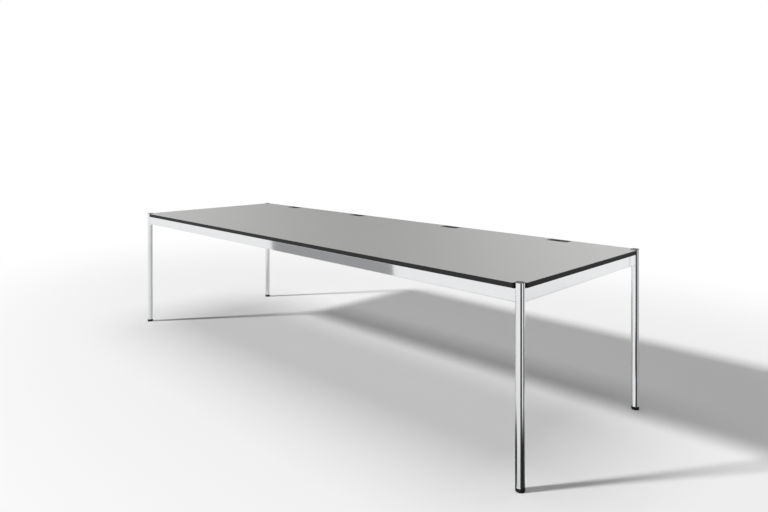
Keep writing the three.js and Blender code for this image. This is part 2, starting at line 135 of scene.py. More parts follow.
def thicken(obj, wall, offset):
    """Gives a sheet or a skin its wall."""
    modifier = obj.modifiers.new("wall", "SOLIDIFY")
    modifier.thickness = wall
    modifier.offset = offset
    modifier.use_even_offset = True
    apply_modifiers(obj)


def carve(obj, tool_bm, operation="DIFFERENCE"):
    """Cuts the tool's form out of a piece, or joins it on."""
    tool = to_object("tool", tool_bm)
    modifier = obj.modifiers.new("carve", "BOOLEAN")
    modifier.object = tool
    modifier.operation = operation
    modifier.solver = "EXACT"
    apply_modifiers(obj)
    bpy.data.objects.remove(tool)


def drill(obj, start, direction, radius, depth, sides=32):
    """A straight hole from a start point."""
    turn = Vector(direction).to_track_quat("Z", "Y").to_matrix().to_4x4()
    place = Matrix.Translation(start) @ turn @ Matrix.Translation((0, 0, depth / 2))
    bm = bmesh.new()
    bmesh.ops.create_cone(bm, cap_ends=True, segments=sides, radius1=radius, radius2=radius,
                          depth=depth, matrix=place)
    carve(obj, bm)


def new_verts(extruded):
    """The vertices that an extrusion has made."""
    return [item for item in extruded["geom"] if isinstance(item, bmesh.types.BMVert)]


def copy_to(pattern, name, place):
    """Another piece of the same form, moved to its own place."""
    obj = bpy.data.objects.new(name, pattern.data.copy())
    obj.data.transform(place)
    bpy.context.scene.collection.objects.link(obj)
    return obj


def finish_piece(obj, material, slot, body, *nodes, smooth=30):
    """Welds and shades a piece, and sets it on its body in place of its CAD nodes."""
    bm = bmesh.new()
    bm.from_mesh(obj.data)
    bmesh.ops.remove_doubles(bm, verts=bm.verts, dist=WELD)
    bm.to_mesh(obj.data)
    bm.free()
    obj.data.materials.clear()
    obj.data.materials.append(material)
    obj.data.shade_smooth()
    obj.data.set_sharp_from_angle(angle=math.radians(smooth))
    obj.modifiers.new("flat_faces", "WEIGHTED_NORMAL").keep_sharp = True
    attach(obj, body)
    if nodes:
        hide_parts(*nodes)


def inwards(corner):
    """The direction from a leg to the inside of the table, along the frame's diagonal."""
    return (Matrix.Rotation(CORNER_TURNS[corner] * math.pi / 2, 3, "Z")
            @ Vector((1, 1, 0)).normalized())


def rail_tube(node, coped):
    """A rail as a tube in its place: a rounded section, drawn to its ends and given a wall."""
    low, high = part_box(node)
    size, centre = high - low, (low + high) / 2
    width, length = sorted((size.x, size.y))
    along_x = size.x > size.y
    bm = bmesh.new()
    bmesh.ops.create_grid(bm, x_segments=1, y_segments=1, size=0.5)
    bmesh.ops.scale(bm, vec=(size.z, width, 1), verts=bm.verts)
    bmesh.ops.bevel(bm, geom=bm.verts[:], offset=RAIL_CORNER, segments=6, profile=0.5,
                    affect="VERTICES", material=-1)
    bmesh.ops.delete(bm, geom=bm.faces[:], context="FACES_ONLY")
    across = [e for e in bm.edges if abs(e.verts[0].co.y - e.verts[1].co.y) > width / 2]
    bmesh.ops.subdivide_edges(bm, edges=across, cuts=10)
    first_end = bm.verts[:]
    last_end = new_verts(bmesh.ops.extrude_edge_only(bm, edges=bm.edges[:]))
    leg_reach = abs(LEG_AXES["front_right"].x if along_x else LEG_AXES["front_right"].y)
    for end, verts in ((-1, first_end), (1, last_end)):
        for v in verts:
            cope = math.sqrt((LEG_RADIUS + RAIL_COPE_GAP) ** 2 - v.co.y ** 2)
            v.co.z = end * (leg_reach - cope if coped else length / 2)
    turn = Matrix.Rotation(math.pi / 2, 4, "Y")
    if not along_x:
        turn = Matrix.Rotation(math.pi / 2, 4, "Z") @ turn
    bmesh.ops.transform(bm, matrix=Matrix.Translation(centre) @ turn, verts=bm.verts)
    rail = to_object(f"chromed_{node}", bm)
    thicken(rail, RAIL_WALL, -1)
    return rail


def nick_for_bolt(rail, corner):
    """The passage of a leg bolt through a rail's coped end."""
    start = (LEG_AXES[corner].x, LEG_AXES[corner].y, RAIL_MIDDLE)
    drill(rail, start, inwards(corner), BOLT_PASSAGE_RADIUS, BOLT_PASSAGE_REACH)


for side, opposite, ends in (("front", "rear", ("front_left", "front_right")),
                             ("right", "left", ("front_right", "rear_right"))):
    rail = rail_tube(f"rail_{side}", coped=True)
    for corner in ends:
        nick_for_bolt(rail, corner)
    twin = copy_to(rail, f"chromed_rail_{opposite}", Matrix.Rotation(math.pi, 4, "Z"))
    finish_piece(rail, chrome_plate, "chrome", "table", f"rail_{side}")
    finish_piece(twin, chrome_plate, "chrome", "table", f"rail_{opposite}")

CROSS_RAIL_X = {side: sum(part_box(f"cross_rail_{side}"), Vector()).x / 2
                for side in ("left", "middle", "right")}
middle = rail_tube("cross_rail_middle", coped=False)
for y in CROSS_RAIL_SCREWS:
    drill(middle, (0, y, RAIL_LOW.z - RAIL_WALL), (0, 0, 1), SCREW_HOLE_RADIUS,
          2 * (RAIL_HIGH.z - RAIL_LOW.z))
for side in ("left", "right"):
    twin = copy_to(middle, f"chromed_cross_rail_{side}",
                   Matrix.Translation((CROSS_RAIL_X[side], 0, 0)))
    finish_piece(twin, chrome_plate, "chrome", "table", f"cross_rail_{side}")
finish_piece(middle, chrome_plate, "chrome", "table", "cross_rail_middle")


# Corner brackets: steel plate 4 mm thick, bent to a web across the frame's corner with a wing
# on each rail, and a drilled tab welded on for the board's screws. Zinc plated.
BRACKET_T = 0.004
BRACKET_WING_FACE = 0.0103
BRACKET_REACH = 0.070
BRACKET_WING = 0.036
BRACKET_BEND = 0.006
TAB_WIDTH = 0.050
TAB_DEPTH = 0.028
TAB_CORNER = 0.006
TAB_HOLE_SPACING = 0.030
BRACKET_HOLE_RADIUS = 0.0045
BRACKET_EDGE = 0.0003
SHARP_ANGLE = 40
WEB_DISTANCE = (BRACKET_REACH + BRACKET_WING_FACE) / math.sqrt(2)
WEB_OUTER = WEB_DISTANCE + BRACKET_T
BRACKET_LOW, BRACKET_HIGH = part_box("corner_bracket_front_left")
DIAGONAL = Vector((1, 1, 0)).normalized()
ACROSS = Vector((-1, 1, 0)).normalized()
TAB_HOLES = [DIAGONAL * (WEB_OUTER + TAB_DEPTH / 2) + ACROSS * side * TAB_HOLE_SPACING / 2
             for side in (-1, 1)]

# Zinc plate, blue passivated: dull bright metal with a cloudy gloss and a faint cold tint.
ZINC_CLOUD_MM = 6
zinc_plate, tree = new_material("zinc_plated_steel")
coords = add_node(tree, "ShaderNodeTexCoord", {}, {})
clouds = add_node(tree, "ShaderNodeTexNoise", {"Scale": 1000 / ZINC_CLOUD_MM, "Detail": 5},
                  {"Vector": (coords, "Object")})
tint = add_node(tree, "ShaderNodeValToRGB", {"ramp": ("9da1a6", "b4b7b9")},
                {"Fac": (clouds, "Fac")})
gloss = add_node(tree, "ShaderNodeMapRange", {"To Min": 0.26, "To Max": 0.46},
                 {"Value": (clouds, "Fac")})
shader = add_node(tree, "ShaderNodeBsdfPrincipled", {"Metallic": 1},
                  {"Base Color": (tint, "Color"), "Roughness": (gloss, "Result")})
add_node(tree, "ShaderNodeOutputMaterial", {}, {"Surface": (shader, "BSDF")})


def block(low, high):
    """A rectangular block between two corners."""
    low, high = Vector(low), Vector(high)
    bm = bmesh.new()
    place = Matrix.Translation((low + high) / 2) @ Matrix.Diagonal((*(high - low), 1))
    bmesh.ops.create_cube(bm, size=1, matrix=place)
    return bm


def upright_edges(bm, wanted):
    """The upright edges of a block whose place passes a test."""
    return [e for e in bm.edges
            if (e.verts[0].co - e.verts[1].co).xy.length < WELD and wanted(e.verts[0].co)]


def soften(obj, radius, segments=2):
    """Breaks or rounds a piece's sharp edges."""
    modifier = obj.modifiers.new("edge", "BEVEL")
    modifier.width = radius
    modifier.segments = segments
    modifier.limit_method = "ANGLE"
    modifier.angle_limit = math.radians(SHARP_ANGLE)
    apply_modifiers(obj)


def at_corner(corner):
    """From a corner's own frame, with the leg's axis at the origin, to the table's frame."""
    axis = LEG_AXES[corner]
    return (Matrix.Translation((axis.x, axis.y, 0))
            @ Matrix.Rotation(CORNER_TURNS[corner] * math.pi / 2, 4, "Z"))


def at_every_corner(pattern, name, material, slot, node, moving=None):
    """Sets a copy of a piece at each of the four legs, and takes the pattern away."""
    for corner in CORNER_TURNS:
        body = f"{moving}_{corner}" if moving else "table"
        piece = copy_to(pattern, f"{name}_{corner}", at_corner(corner))
        finish_piece(piece, material, slot, body, f"{node}_{corner}")
    bpy.data.objects.remove(pattern)


wing_middle = BRACKET_WING_FACE + BRACKET_T / 2
bend = BRACKET_REACH + BRACKET_T * (math.sqrt(2) - 1) / 2
wing_end = BRACKET_REACH + BRACKET_WING
bm = bmesh.new()
line = [bm.verts.new((*point, BRACKET_LOW.z)) for point in
        ((wing_end, wing_middle), (bend, wing_middle),
         (wing_middle, bend), (wing_middle, wing_end))]
strip = [bm.edges.new(pair) for pair in zip(line, line[1:])]
raised = new_verts(bmesh.ops.extrude_edge_only(bm, edges=strip))
bmesh.ops.translate(bm, verts=raised, vec=(0, 0, BRACKET_HIGH.z - BRACKET_LOW.z))
bends = [e for e in bm.edges if len(e.link_faces) == 2]
bmesh.ops.bevel(bm, geom=bends, offset=BRACKET_BEND, segments=6, profile=0.5,
                affect="EDGES", material=-1)
bracket = to_object("bracket", bm)
thicken(bracket, BRACKET_T, 0)
tab = block((WEB_DISTANCE + BRACKET_T / 2, -TAB_WIDTH / 2, BRACKET_HIGH.z - BRACKET_T),
            (WEB_OUTER + TAB_DEPTH, TAB_WIDTH / 2, BRACKET_HIGH.z))
bmesh.ops.bevel(tab, geom=upright_edges(tab, lambda co: co.x > WEB_OUTER), offset=TAB_CORNER,
                segments=8, profile=0.5, affect="EDGES", material=-1)
bmesh.ops.rotate(tab, matrix=Matrix.Rotation(math.pi / 4, 3, "Z"), verts=tab.verts)
carve(bracket, tab, "UNION")
soften(bracket, BRACKET_EDGE, 1)
drill(bracket, DIAGONAL * WEB_DISTANCE / 2 + Vector((0, 0, RAIL_MIDDLE)), DIAGONAL,
      BRACKET_HOLE_RADIUS, WEB_OUTER)
for hole in TAB_HOLES:
    drill(bracket, hole + Vector((0, 0, BRACKET_HIGH.z - 2 * BRACKET_T)), (0, 0, 1),
          SCREW_HOLE_RADIUS, 4 * BRACKET_T)
at_every_corner(bracket, "zinc_bracket", zinc_plate, "zinc_steel", "corner_bracket")


# Legs: round steel tube of 35 mm with a 2 mm wall, polished and chromed, cut square with the
# edges broken. A hole high up on the inner side takes the rivet nut for the leg bolt.
LEG_WALL = 0.002
LEG_EDGE_BREAK = 0.0003
LEG_NUT_HOLE_RADIUS = 0.0063


def turned(profile, closed=False, steps=96):
    """A form turned about Z from (radius, height, rounding) points."""
    bm = bmesh.new()
    verts = [bm.verts.new((radius, 0, height)) for radius, height, rounding in profile]
    pairs = list(zip(verts, verts[1:])) + ([(verts[-1], verts[0])] if closed else [])
    for pair in pairs:
        bm.edges.new(pair)
    for v, (radius, height, rounding) in zip(verts, profile):
        if rounding:
            bmesh.ops.bevel(bm, geom=[v], offset=rounding, segments=4, profile=0.5,
                            affect="VERTICES", material=-1)
    bmesh.ops.spin(bm, geom=bm.verts[:] + bm.edges[:], cent=(0, 0, 0), axis=(0, 0, 1),
                   angle=2 * math.pi, steps=steps, use_merge=True)
    bmesh.ops.remove_doubles(bm, verts=bm.verts, dist=WELD)
    return bm


bore = LEG_RADIUS - LEG_WALL
leg = to_object("leg", turned([
    (bore, LEG_LOW.z, 0), (LEG_RADIUS, LEG_LOW.z, LEG_EDGE_BREAK),
    (LEG_RADIUS, LEG_HIGH.z, LEG_EDGE_BREAK), (bore, LEG_HIGH.z, 0)], closed=True))
drill(leg, (0, 0, RAIL_MIDDLE), DIAGONAL, LEG_NUT_HOLE_RADIUS, 2 * LEG_RADIUS)
at_every_corner(leg, "chromed_leg", chrome_plate, "chrome", "leg")


# Leg caps: dark grey polyethylene, moulded with a hollow plug that is pressed into the tube.
# The flange covers the cut edge and stands just above the board.
CAP_CHAMFER = 0.0005
CAP_FLANGE_T = 0.001
CAP_WALL = 0.0025
CAP_FIT = 0.0003
CAP_LOW, CAP_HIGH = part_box("leg_cap_front_left")

# Moulded polyethylene: waxy and matt, with a fine even grain from the mould. The grain is drawn
# coarser than the real one, so that it shows.
CAP_GRAIN_MM = 1.2
cap_plastic, tree = new_material("moulded_grey_polyethylene")
coords = add_node(tree, "ShaderNodeTexCoord", {}, {})
grain = add_node(tree, "ShaderNodeTexNoise", {"Scale": 1000 / CAP_GRAIN_MM, "Detail": 3},
                 {"Vector": (coords, "Object")})
tint = add_node(tree, "ShaderNodeValToRGB", {"ramp": ("464647", "4e4e4f")}, {"Fac": (grain, "Fac")})
gloss = add_node(tree, "ShaderNodeMapRange", {"To Min": 0.48, "To Max": 0.6},
                 {"Value": (grain, "Fac")})
bump = add_node(tree, "ShaderNodeBump", {"Strength": 0.15, "Distance": 0.0001},
                {"Height": (grain, "Fac")})
shader = add_node(tree, "ShaderNodeBsdfPrincipled", {"IOR": 1.51, "Specular IOR Level": 0.3},
                  {"Base Color": (tint, "Color"), "Roughness": (gloss, "Result"),
                   "Normal": (bump, "Normal")})
add_node(tree, "ShaderNodeOutputMaterial", {}, {"Surface": (shader, "BSDF")})

plug = LEG_RADIUS - LEG_WALL - CAP_FIT
plug_bore = plug - CAP_WALL
flange = CAP_HIGH.z - CAP_FLANGE_T
cap = turned([
    (0, flange - CAP_FLANGE_T, 0), (plug_bore, flange - CAP_FLANGE_T, 0),
    (plug_bore, CAP_LOW.z, 0), (plug, CAP_LOW.z, CAP_CHAMFER), (plug, flange, 0),
    (LEG_RADIUS, flange, 0), (LEG_RADIUS, CAP_HIGH.z, CAP_CHAMFER), (0, CAP_HIGH.z, 0)])
at_every_corner(to_object("cap", cap), "moulded_leg_cap", cap_plastic, "cap_plastic", "leg_cap")


# Leg bolts and rivet nuts: an M8 socket-head screw with a washer goes through the bracket into
# a steel rivet nut in the leg's wall, and draws the leg into the coped rails. Zinc plated.
BOLT_RADIUS = 0.004
BOLT_HEAD_RADIUS = 0.0065
BOLT_HEAD_HEIGHT = 0.008
BOLT_HEAD_EDGE = 0.0006
BOLT_KEY = 0.006
BOLT_SOCKET_RADIUS = BOLT_KEY / math.sqrt(3)
BOLT_SOCKET_DEPTH = 0.004
WASHER_RADIUS = 0.0085
WASHER_T = 0.0016
WASHER_GAP = 0.0003
NUT_BORE = 0.0043
NUT_RADIUS = 0.006
NUT_COLLAR_RADIUS = 0.0075
NUT_COLLAR_T = 0.0025
NUT_COLLAR_EDGE = 0.0004
NUT_COLLAR_ROUND = 0.0008
NUT_LENGTH = 0.0075
NUT_OUTER = math.sqrt(LEG_RADIUS ** 2 - NUT_RADIUS ** 2)
NUT_INNER = NUT_OUTER - NUT_LENGTH
ALONG_BOLT = (Matrix.Translation((0, 0, RAIL_MIDDLE))
              @ DIAGONAL.to_track_quat("Z", "Y").to_matrix().to_4x4())

washer_seat = WEB_OUTER + WASHER_GAP
head = washer_seat + WASHER_T
bolt_end = head + BOLT_HEAD_HEIGHT
bolt = to_object("bolt", turned([
    (0, NUT_INNER, 0), (BOLT_RADIUS, NUT_INNER, BOLT_HEAD_EDGE), (BOLT_RADIUS, washer_seat, 0),
    (WASHER_RADIUS, washer_seat, 0), (WASHER_RADIUS, head, 0), (BOLT_HEAD_RADIUS, head, 0),
    (BOLT_HEAD_RADIUS, bolt_end, BOLT_HEAD_EDGE), (0, bolt_end, 0)], steps=48))
drill(bolt, (0, 0, bolt_end - BOLT_SOCKET_DEPTH), (0, 0, 1), BOLT_SOCKET_RADIUS,
      2 * BOLT_SOCKET_DEPTH, sides=6)
bolt.data.transform(ALONG_BOLT)
at_every_corner(bolt, "leg_screw", zinc_plate, "zinc_steel", "leg_bolt")

collar = NUT_INNER + NUT_COLLAR_T
nut = to_object("nut", turned([
    (NUT_BORE, NUT_INNER, 0), (NUT_COLLAR_RADIUS, NUT_INNER, NUT_COLLAR_EDGE),
    (NUT_COLLAR_RADIUS, collar, NUT_COLLAR_ROUND), (NUT_RADIUS, collar, 0),
    (NUT_RADIUS, NUT_OUTER, 0), (NUT_BORE, NUT_OUTER, 0)], closed=True, steps=48))
nut.data.transform(ALONG_BOLT)
at_every_corner(nut, "rivet_nut", zinc_plate, "zinc_steel", "leg_insert")


# Levelling feet: a black plastic plug with an M10 thread closes the leg's lower end. The zinc
# plated stem screws into it, and its collar snaps into the black pad, where it can turn.
STEM_PITCH = 0.0015
STEM_THREAD_DEPTH = 0.0009
STEM_STEPS = 48
STEM_RADIUS = 0.005
STEM_COLLAR_T = 0.0027
PAD_EDGE = 0.0015
PAD_TOP_EDGE = 0.0006
PLUG_FLANGE_T = 0.002
FOOT_FIT = 0.0003
PAD_LOW, PAD_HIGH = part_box("foot_pad_front_left")
PLUG_LOW, PLUG_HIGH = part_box("foot_insert_front_left")
STEM_LOW, STEM_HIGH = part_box("foot_stem_front_left")
STEM_COLLAR_RADIUS = (STEM_HIGH.x - STEM_LOW.x) / 2

# Moulded black ABS: satin, with the fine even grain of a spark-eroded mould, drawn coarser than
# the real one, so that it shows.
MOULD_GRAIN_MM = 0.9
black_plastic, tree = new_material("moulded_black_abs")
coords = add_node(tree, "ShaderNodeTexCoord", {}, {})
grain = add_node(tree, "ShaderNodeTexNoise", {"Scale": 1000 / MOULD_GRAIN_MM, "Detail": 4},
                 {"Vector": (coords, "Object")})
tint = add_node(tree, "ShaderNodeValToRGB", {"ramp": ("18181a", "1f1f20")}, {"Fac": (grain, "Fac")})
gloss = add_node(tree, "ShaderNodeMapRange", {"To Min": 0.48, "To Max": 0.62},
                 {"Value": (grain, "Fac")})
bump = add_node(tree, "ShaderNodeBump", {"Strength": 0.2, "Distance": 0.0001},
                {"Height": (grain, "Fac")})
shader = add_node(tree, "ShaderNodeBsdfPrincipled", {"IOR": 1.54, "Specular IOR Level": 0.25},
                  {"Base Color": (tint, "Color"), "Roughness": (gloss, "Result"),
                   "Normal": (bump, "Normal")})
add_node(tree, "ShaderNodeOutputMaterial", {}, {"Surface": (shader, "BSDF")})

plug_flange = PLUG_LOW.z + PLUG_FLANGE_T
thread_bore = STEM_RADIUS + FOOT_FIT
foot_plug = turned([
    (thread_bore, PLUG_LOW.z, 0), (LEG_RADIUS, PLUG_LOW.z, PAD_TOP_EDGE),
    (LEG_RADIUS, plug_flange, 0), (plug, plug_flange, 0),
    (plug, PLUG_HIGH.z, PAD_TOP_EDGE), (thread_bore, PLUG_HIGH.z, 0)], closed=True)
at_every_corner(to_object("plug", foot_plug), "threaded_plug", black_plastic, "black_plastic",
                "foot_insert")

# One pitch of the thread's profile goes up a helix, and is trimmed square at both ends.
collar_middle = STEM_LOW.z + STEM_COLLAR_T / 2
collar_top = STEM_LOW.z + STEM_COLLAR_T
root = STEM_RADIUS - STEM_THREAD_DEPTH
start = collar_middle - 2 * STEM_PITCH
bm = bmesh.new()
profile = [bm.verts.new((radius, 0, start + share * STEM_PITCH)) for radius, share in
           ((root, 0), (root, 1 / 8), (STEM_RADIUS, 1 / 2), (STEM_RADIUS, 5 / 8), (root, 1))]
for pair in zip(profile, profile[1:]):
    bm.edges.new(pair)
turns = math.ceil((STEM_HIGH.z - start) / STEM_PITCH) + 1
bmesh.ops.spin(bm, geom=bm.verts[:] + bm.edges[:], cent=(0, 0, 0), axis=(0, 0, 1),
               dvec=(0, 0, STEM_PITCH / STEM_STEPS), angle=2 * math.pi * turns,
               steps=STEM_STEPS * turns)
bmesh.ops.remove_doubles(bm, verts=bm.verts, dist=WELD)
for height, up in ((collar_middle, -1), (STEM_HIGH.z, 1)):
    bmesh.ops.bisect_plane(bm, geom=bm.verts[:] + bm.edges[:] + bm.faces[:],
                           plane_co=(0, 0, height), plane_no=(0, 0, up), clear_outer=True)
bmesh.ops.holes_fill(bm, edges=[e for e in bm.edges if e.is_boundary])
stem = to_object("stem", bm)
carve(stem, turned([
    (0, STEM_LOW.z, 0), (STEM_COLLAR_RADIUS, STEM_LOW.z, PAD_TOP_EDGE),
    (STEM_COLLAR_RADIUS, collar_top, PAD_TOP_EDGE), (0, collar_top, 0)], steps=48), "UNION")
at_every_corner(stem, "threaded_stem", zinc_plate, "zinc_steel", "foot_stem", moving="stem")

pocket = STEM_COLLAR_RADIUS + FOOT_FIT
pocket_floor = STEM_LOW.z - FOOT_FIT
pocket_top = collar_top + FOOT_FIT
pad = turned([
    (0, PAD_LOW.z, 0), (LEG_RADIUS, PAD_LOW.z, PAD_EDGE), (LEG_RADIUS, PAD_HIGH.z, PAD_TOP_EDGE),
    (thread_bore, PAD_HIGH.z, 0), (thread_bore, pocket_top, 0), (pocket, pocket_top, 0),
    (pocket, pocket_floor, 0), (0, pocket_floor, 0)])
at_every_corner(to_object("pad", pad), "moulded_foot_pad", black_plastic, "black_plastic",
                "foot_pad", moving="foot")


# Board: particle board 17 mm thick with high-pressure laminate glued on above and a backing
# laminate below. It is notched round for the four legs and square for the cable outlets.
LEG_CLEARANCE = 0.0015
NOTCH_RADIUS = LEG_RADIUS + LEG_CLEARANCE
MOUTH_RADIUS = 0.006
OUTLET_WIDTH = 0.110
OUTLET_DEPTH = 0.062
OUTLET_CORNER = 0.004
EDGE_T = 0.002
GLUE_LINE = 0.00005
OUTLETS = (1, 2, 3, 4)
TOP_LOW, TOP_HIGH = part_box("top_laminate")
BOARD_HALF_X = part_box("edge_band_right")[1].x
BOARD_HALF_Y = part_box("edge_band_rear")[1].y
OUTLET_X = [sum(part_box(f"outlet_frame_{i}"), Vector()).x / 2 for i in OUTLETS]

# High-pressure laminate in plain grey: printed paper under melamine resin, pressed with a fine
# pearl texture. The eye sees an even matt grey with a very fine lighter and darker speckle. The
# texture is drawn coarser than the real one, so that it shows.
PEARL_MM = 2.5
PRESS_CLOUD_MM = 350
grey_laminate, tree = new_material("grey_melamine_laminate")
coords = add_node(tree, "ShaderNodeTexCoord", {}, {})
pearl = add_node(tree, "ShaderNodeTexNoise", {"Scale": 1000 / PEARL_MM, "Detail": 5},
                 {"Vector": (coords, "Object")})
tint = add_node(tree, "ShaderNodeValToRGB", {"ramp": ("a7a7a6", "aeaead")}, {"Fac": (pearl, "Fac")})
clouds = add_node(tree, "ShaderNodeTexNoise", {"Scale": 1000 / PRESS_CLOUD_MM, "Detail": 3},
                  {"Vector": (coords, "Object")})
gloss = add_node(tree, "ShaderNodeMapRange", {"To Min": 0.36, "To Max": 0.42},
                 {"Value": (clouds, "Fac")})
bump = add_node(tree, "ShaderNodeBump", {"Strength": 0.08, "Distance": 0.0001},
                {"Height": (pearl, "Fac")})
shader = add_node(tree, "ShaderNodeBsdfPrincipled", {"IOR": 1.5},
                  {"Base Color": (tint, "Color"), "Roughness": (gloss, "Result"),
                   "Normal": (bump, "Normal")})
add_node(tree, "ShaderNodeOutputMaterial", {}, {"Surface": (shader, "BSDF")})

# Backing laminate: the same pressed sheet in a plain dark grey, matt, with a cloudy tone.
BACKING_CLOUD_MM = 40
backing_laminate, tree = new_material("dark_backing_laminate")
coords = add_node(tree, "ShaderNodeTexCoord", {}, {})
clouds = add_node(tree, "ShaderNodeTexNoise", {"Scale": 1000 / BACKING_CLOUD_MM, "Detail": 6},
                  {"Vector": (coords, "Object")})
tint = add_node(tree, "ShaderNodeValToRGB", {"ramp": ("454546", "4e4e4f")},
                {"Fac": (clouds, "Fac")})
gloss = add_node(tree, "ShaderNodeMapRange", {"To Min": 0.5, "To Max": 0.62},
                 {"Value": (clouds, "Fac")})
shader = add_node(tree, "ShaderNodeBsdfPrincipled", {"IOR": 1.5},
                  {"Base Color": (tint, "Color"), "Roughness": (gloss, "Result")})
add_node(tree, "ShaderNodeOutputMaterial", {}, {"Surface": (shader, "BSDF")})

# Particle board: pressed wood chips, each a shade lighter or darker, dull and slightly rough.
CHIP_MM = 3
particle_board, tree = new_material("raw_particle_board")
coords = add_node(tree, "ShaderNodeTexCoord", {}, {})
chips = add_node(tree, "ShaderNodeTexVoronoi", {"Scale": 1000 / CHIP_MM},
                 {"Vector": (coords, "Object")})
tint = add_node(tree, "ShaderNodeValToRGB", {"ramp": ("9c7a50", "c4a277")},
                {"Fac": (chips, "Color")})
bump = add_node(tree, "ShaderNodeBump", {"Strength": 0.3, "Distance": 0.0003},
                {"Height": (chips, "Distance")})
shader = add_node(tree, "ShaderNodeBsdfPrincipled", {"Roughness": 0.85},
                  {"Base Color": (tint, "Color"), "Normal": (bump, "Normal")})
add_node(tree, "ShaderNodeOutputMaterial", {}, {"Surface": (shader, "BSDF")})

for node, material in (("top_core", particle_board), ("backing_laminate", backing_laminate)):
    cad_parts[node].data.materials.clear()
    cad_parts[node].data.materials.append(material)


def board_outline(inset):
    """The board seen from above, anticlockwise, as sharp corners (x, y, rounding)."""
    edge_x, edge_y = BOARD_HALF_X - inset, BOARD_HALF_Y - inset
    notch = NOTCH_RADIUS + inset
    notch_x, notch_y = LEG_AXES["rear_right"].x - notch, LEG_AXES["rear_right"].y - notch
    mouth = MOUTH_RADIUS - inset
    outline = []
    for sx, sy in ((-1, -1), (1, -1), (1, 1), (-1, 1)):
        corner = [(sx * edge_x, sy * notch_y, mouth), (sx * notch_x, sy * notch_y, notch),
                  (sx * notch_x, sy * edge_y, mouth)]
        outline += corner if sx == sy else corner[::-1]
        if (sx, sy) == (1, 1):
            half, back = OUTLET_WIDTH / 2 + inset, BOARD_HALF_Y - OUTLET_DEPTH - inset
            for x in reversed(OUTLET_X):
                outline += [(x + half, edge_y, 0), (x + half, back, OUTLET_CORNER + inset),
                            (x - half, back, OUTLET_CORNER + inset), (x - half, edge_y, 0)]
    return outline


def board_slab(inset, low, high):
    """A slab with the board's outline, its corners rounded."""
    outline = board_outline(inset)
    bm = bmesh.new()
    verts = [bm.verts.new((x, y, high)) for x, y, rounding in outline]
    bm.faces.new(verts)
    for radius in sorted({rounding for x, y, rounding in outline if rounding}):
        corners = [v for v, (x, y, rounding) in zip(verts, outline) if rounding == radius]
        bmesh.ops.bevel(bm, geom=corners, offset=radius, segments=12, profile=0.5,
                        affect="VERTICES", material=-1)
    lowered = new_verts(bmesh.ops.extrude_face_region(bm, geom=bm.faces[:]))
    bmesh.ops.translate(bm, verts=lowered, vec=(0, 0, low - high))
    return bm


laminate = to_object("grey_top_laminate", board_slab(EDGE_T + GLUE_LINE, TOP_LOW.z, TOP_HIGH.z))
finish_piece(laminate, grey_laminate, "grey_laminate", "table", "top_laminate")


# Edge band: black ABS strip 2 mm thick, glued round the board in four lengths that also line
# the notches. The joints lie behind the legs, and the arrises are scraped round.
BAND_ARRIS = 0.0008
BAND_LOW, BAND_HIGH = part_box("edge_band_front")

# Extruded black ABS: satin, with a fine orange peel that breaks up its reflections.
PEEL_MM = 1.5
black_edge, tree = new_material("extruded_black_abs")
coords = add_node(tree, "ShaderNodeTexCoord", {}, {})
peel = add_node(tree, "ShaderNodeTexNoise", {"Scale": 1000 / PEEL_MM, "Detail": 3},
                {"Vector": (coords, "Object")})
tint = add_node(tree, "ShaderNodeValToRGB", {"ramp": ("242425", "2c2c2d")}, {"Fac": (peel, "Fac")})
gloss = add_node(tree, "ShaderNodeMapRange", {"To Min": 0.5, "To Max": 0.62},
                 {"Value": (peel, "Fac")})
bump = add_node(tree, "ShaderNodeBump", {"Strength": 0.1, "Distance": 0.0001},
                {"Height": (peel, "Fac")})
shader = add_node(tree, "ShaderNodeBsdfPrincipled", {"IOR": 1.54, "Specular IOR Level": 0.1},
                  {"Base Color": (tint, "Color"), "Roughness": (gloss, "Result"),
                   "Normal": (bump, "Normal")})
add_node(tree, "ShaderNodeOutputMaterial", {}, {"Surface": (shader, "BSDF")})

bm = board_slab(0, BAND_LOW.z, BAND_HIGH.z)
arrises = [e for e in bm.edges if any(len(f.verts) > 4 for f in e.link_faces)]
bmesh.ops.bevel(bm, geom=arrises, offset=BAND_ARRIS, segments=3, profile=0.5,
                affect="EDGES", material=-1)
ring = to_object("edge_ring", bm)
carve(ring, board_slab(EDGE_T, BAND_LOW.z - EDGE_T, BAND_HIGH.z + EDGE_T))


def band_cuts(turn):
    """Where one side's band ends: planes through the two legs, and one through the middle."""
    reach = LEG_AXES["rear_right"].x if turn % 2 == 0 else LEG_AXES["rear_right"].y
    depth = LEG_AXES["rear_right"].y if turn % 2 == 0 else LEG_AXES["rear_right"].x
    cuts = [(Vector((0, 0, 0)), Vector((0, 1, 0)))]
    for end in (-1, 1):
        outwards = Vector((end, 1, 0)).normalized()
        cuts.append((Vector((end * reach, -depth, 0)) - outwards * GLUE_LINE / 2, outwards))
    quarter = Matrix.Rotation(turn * math.pi / 2, 3, "Z")
    return [(quarter @ point, quarter @ outwards) for point, outwards in cuts]


for turn, side in enumerate(("front", "right", "rear", "left")):
    bm = bmesh.new()
    bm.from_mesh(ring.data)
    for point, outwards in band_cuts(turn):
        bmesh.ops.bisect_plane(bm, geom=bm.verts[:] + bm.edges[:] + bm.faces[:], plane_co=point,
                               plane_no=outwards, clear_outer=True)
    bmesh.ops.holes_fill(bm, edges=[e for e in bm.edges if e.is_boundary])
    finish_piece(to_object(f"black_edge_{side}", bm), black_edge, "black_edge", "table",
                 f"edge_band_{side}")
bpy.data.objects.remove(ring)


